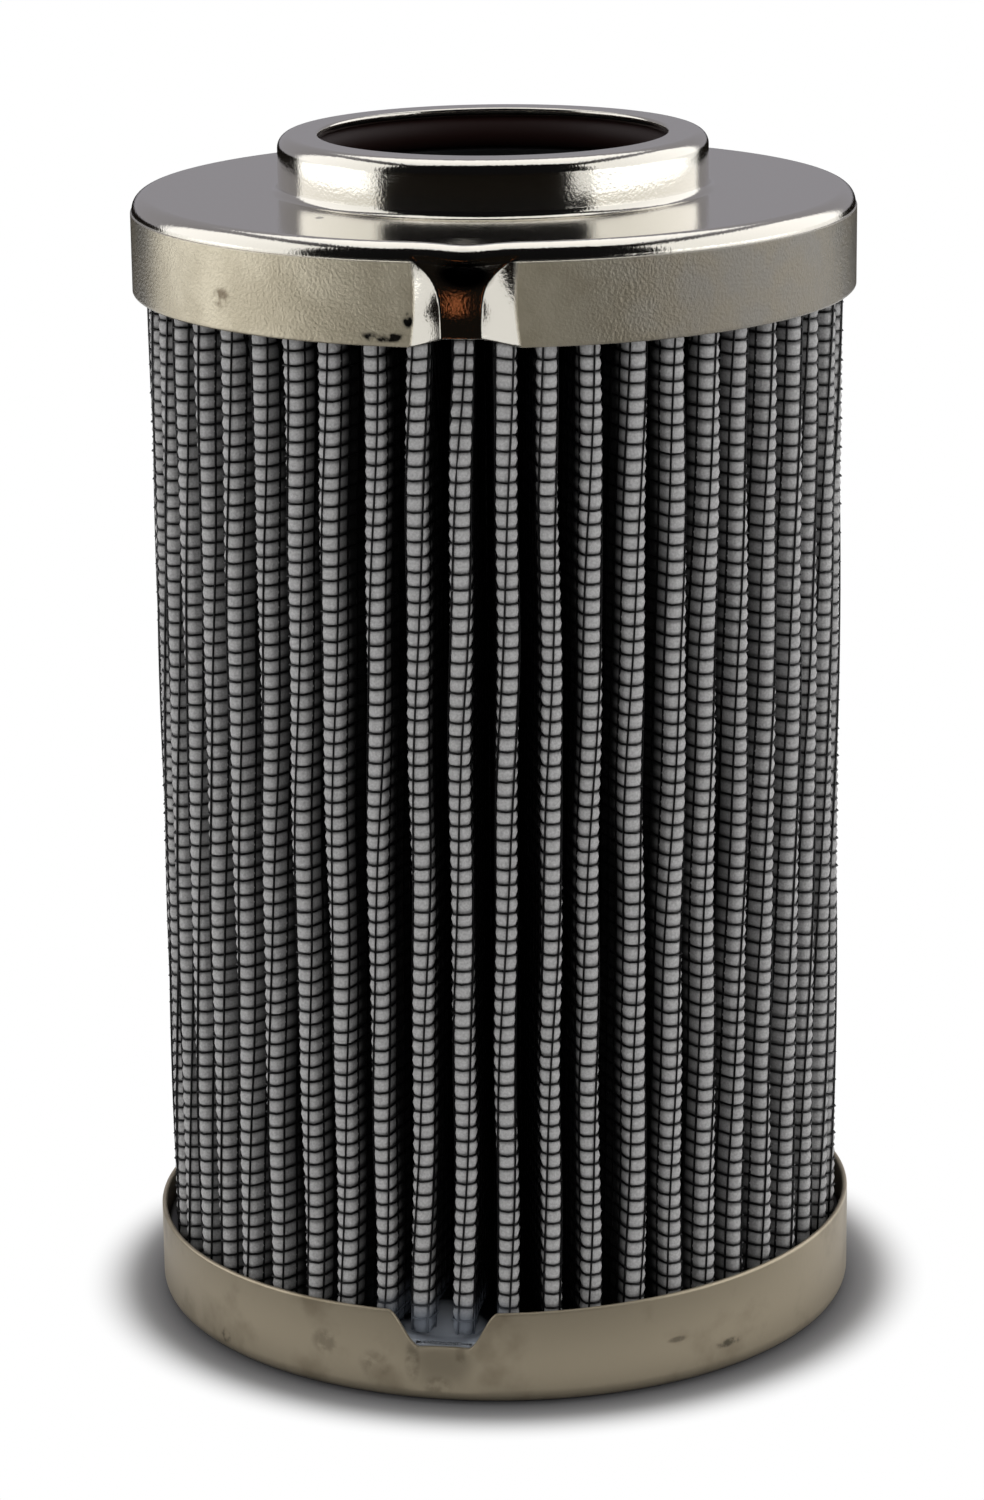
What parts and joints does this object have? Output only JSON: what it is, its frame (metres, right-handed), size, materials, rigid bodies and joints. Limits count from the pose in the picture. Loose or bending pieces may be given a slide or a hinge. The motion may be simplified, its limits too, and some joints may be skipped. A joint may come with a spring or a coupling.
{
  "type": "hydraulic filter element",
  "caption": "Round pleated filter element: folded wire mesh and media between two pressed steel caps, with a sealed bore in the raised collar of one cap.",
  "frame": {"origin": "middle of the foot of the closed cap, on the surface that the element stands on", "axes": "+Z along the element's axis, from the closed cap to the cap with the collar; -Y towards the side with the dents in the rims"},
  "size_m": [0.07, 0.07, 0.1171],
  "materials": {
    "cap_steel": "tin-plated pressed steel, bright to satin",
    "seal_rubber": "moulded fluorocarbon rubber, dark brown",
    "retainer_plastic": "moulded glass-filled nylon, black",
    "tube_steel": "zinc-plated steel strip, slotted and rolled",
    "coated_mesh": "epoxy-coated woven steel wire, black",
    "media": "pleated glass-fibre fleece, warm grey",
    "resin": "cast two-part resin, blue-grey"
  },
  "bodies": {
    "root": {"top_cap": "cap_steel", "bottom_cap": "cap_steel", "o_ring": "seal_rubber", "seal_retainer": "retainer_plastic", "centre_tube": "tube_steel", "outer_mesh": "coated_mesh", "filter_media": "media", "inner_mesh": "coated_mesh", "seam_clip": "tube_steel", "top_potting": "resin", "bottom_potting": "resin"}
  },
  "joints": []
}
